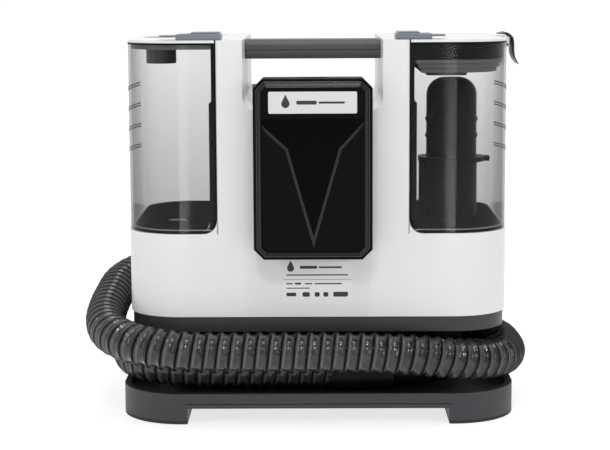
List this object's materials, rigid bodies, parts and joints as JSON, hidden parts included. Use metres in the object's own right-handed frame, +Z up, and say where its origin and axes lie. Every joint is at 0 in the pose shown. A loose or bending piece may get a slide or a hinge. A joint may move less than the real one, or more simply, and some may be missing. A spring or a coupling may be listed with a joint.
{
  "type": "spot extractor",
  "caption": "Cordless carpet and upholstery spot extractor with lift-out clean and dirty tanks, a slide-on battery, a carry handle, and a hose wound in its base with a trigger tool.",
  "frame": {"origin": "on the floor plane that the foot soles stand on, under the middle of the white housing", "axes": "+Z up, +X to the right of someone facing the battery side, +Y from the battery side to the tool side"},
  "size_m": [0.376, 0.288, 0.3183],
  "materials": {
    "plinth_plastic": "fine-textured bluish grey ABS",
    "sole_rubber": "matte",
    "screw_steel": "zinc plated",
    "black_plastic": "satin",
    "ring_plastic": "satin dark grey",
    "white_plastic": "semi-gloss ABS",
    "seat_rubber": "matte",
    "handle_plastic": "fine-textured dark grey",
    "label_film": "printed film, left blank",
    "terminal_brass": "bright",
    "dark_plastic": "satin dark grey",
    "light_lens": "clear lens",
    "board": "solder mask",
    "motor_steel": "plated",
    "tool_plastic": "fine-textured bluish grey ABS",
    "clear_plastic": "clear polycarbonate",
    "cuff_plastic": "satin",
    "hose_plastic": "glossy corrugated EVA",
    "smoked_tank": "smoke-tinted polycarbonate",
    "latch_plastic": "satin grey",
    "cap_rubber": "matte",
    "filter_seal": "matte grey",
    "float_foam": "moulded",
    "battery_plastic": "glossy black",
    "cell_wrap": "shrink sleeve",
    "button_plastic": "satin",
    "trigger_plastic": "satin"
  },
  "bodies": {
    "machine": {"plinth": "plinth_plastic", "foot_soles": "sole_rubber", "underside_cover": "plinth_plastic", "case_screws": "screw_steel", "hose_drum": "black_plastic", "base_ring": "ring_plastic", "rear_housing": "white_plastic", "front_housing": "white_plastic", "clean_seat": "seat_rubber", "dirty_seat": "seat_rubber", "handle_bar": "handle_plastic", "handle_underside": "handle_plastic", "rating_plate": "label_film", "battery_dock": "black_plastic", "dock_terminals": "terminal_brass", "exhaust_grille": "dark_plastic", "control_panel": "black_plastic", "charge_lights": "light_lens", "circuit_board": "board", "tool_cradle": "dark_plastic", "inlet_elbow": "black_plastic", "motor_bracket": "dark_plastic", "fan_housing": "dark_plastic", "motor_can": "motor_steel", "air_duct": "black_plastic", "pump": "black_plastic", "tool_body": "tool_plastic", "tool_window": "clear_plastic", "spray_tip": "dark_plastic", "tool_cuff": "cuff_plastic", "trigger_pin": "screw_steel", "hose": "hose_plastic", "hose_collars": "cuff_plastic"},
    "clean_tank": {"clean_tank_shell": "smoked_tank", "clean_lid": "white_plastic", "clean_lid_insert": "black_plastic"},
    "clean_latch": {"clean_latch": "latch_plastic"},
    "fill_cap": {"fill_cap": "cap_rubber"},
    "outlet_valve": {"outlet_valve": "latch_plastic"},
    "dirty_tank": {"dirty_tank_shell": "smoked_tank", "riser_column": "black_plastic", "separator": "black_plastic"},
    "dirty_lid": {"dirty_lid": "white_plastic", "dirty_lid_insert": "black_plastic", "filter_seal": "filter_seal", "float_cage": "dark_plastic", "clip_pin": "screw_steel"},
    "dirty_latch": {"dirty_latch": "latch_plastic"},
    "side_clip": {"side_clip": "dark_plastic"},
    "float_valve": {"float_valve": "float_foam"},
    "battery_pack": {"battery_cover": "battery_plastic", "battery_case": "black_plastic", "battery_cells": "cell_wrap", "battery_label": "label_film"},
    "battery_release": {"battery_release": "dark_plastic"},
    "power_button": {"power_button": "button_plastic"},
    "spray_button": {"spray_button": "button_plastic"},
    "trigger": {"trigger": "trigger_plastic"},
    "rotor": {"impeller": "dark_plastic", "motor_shaft": "motor_steel"}
  },
  "joints": [
    {"name": "clean_tank_lift", "type": "slide", "parent": "machine", "child": "clean_tank", "axis": [0, 0, 1], "range_m": [0, 0.18]},
    {"name": "clean_latch_slide", "type": "slide", "parent": "clean_tank", "child": "clean_latch", "axis": [-1, 0, 0], "range_m": [0, 0.005], "stiffness_N_per_m": 150},
    {"name": "fill_cap_lift", "type": "slide", "parent": "clean_tank", "child": "fill_cap", "axis": [0, 0, 1], "range_m": [0, 0.03]},
    {"name": "outlet_valve_lift", "type": "slide", "parent": "clean_tank", "child": "outlet_valve", "axis": [0, 0, 1], "range_m": [0, 0.003], "stiffness_N_per_m": 120},
    {"name": "dirty_tank_lift", "type": "slide", "parent": "machine", "child": "dirty_tank", "axis": [0, 0, 1], "range_m": [0, 0.18]},
    {"name": "dirty_lid_lift", "type": "slide", "parent": "dirty_tank", "child": "dirty_lid", "axis": [0, 0, 1], "range_m": [0, 0.06]},
    {"name": "dirty_latch_slide", "type": "slide", "parent": "dirty_lid", "child": "dirty_latch", "axis": [1, 0, 0], "range_m": [0, 0.005], "stiffness_N_per_m": 150},
    {"name": "side_clip_pivot", "type": "hinge", "parent": "dirty_lid", "child": "side_clip", "pos_m": [0.1605, 0, 0.305], "axis": [0, 1, 0], "range_deg": [0, 12], "stiffness_Nm_per_rad": 0.1},
    {"name": "float_valve_lift", "type": "slide", "parent": "dirty_lid", "child": "float_valve", "axis": [0, 0, 1], "range_m": [0, 0.003]},
    {"name": "battery_slide", "type": "slide", "parent": "machine", "child": "battery_pack", "axis": [0, 0, 1], "range_m": [0, 0.13]},
    {"name": "battery_release_press", "type": "slide", "parent": "battery_pack", "child": "battery_release", "axis": [0, 0, -1], "range_m": [0, 0.0025], "stiffness_N_per_m": 300},
    {"name": "power_press", "type": "slide", "parent": "machine", "child": "power_button", "axis": [0, -1, 0], "range_m": [0, 0.001], "stiffness_N_per_m": 400},
    {"name": "spray_press", "type": "slide", "parent": "machine", "child": "spray_button", "axis": [0, -1, 0], "range_m": [0, 0.001], "stiffness_N_per_m": 400},
    {"name": "trigger_pull", "type": "hinge", "parent": "machine", "child": "trigger", "pos_m": [-0.014, 0.143, 0.205], "axis": [-1, 0, 0], "range_deg": [0, 5], "stiffness_Nm_per_rad": 0.4},
    {"name": "rotor_spin", "type": "hinge", "parent": "machine", "child": "rotor", "pos_m": [-0.0036, 0.012, 0.2], "axis": [0, 0, 1], "continuous": true}
  ]
}
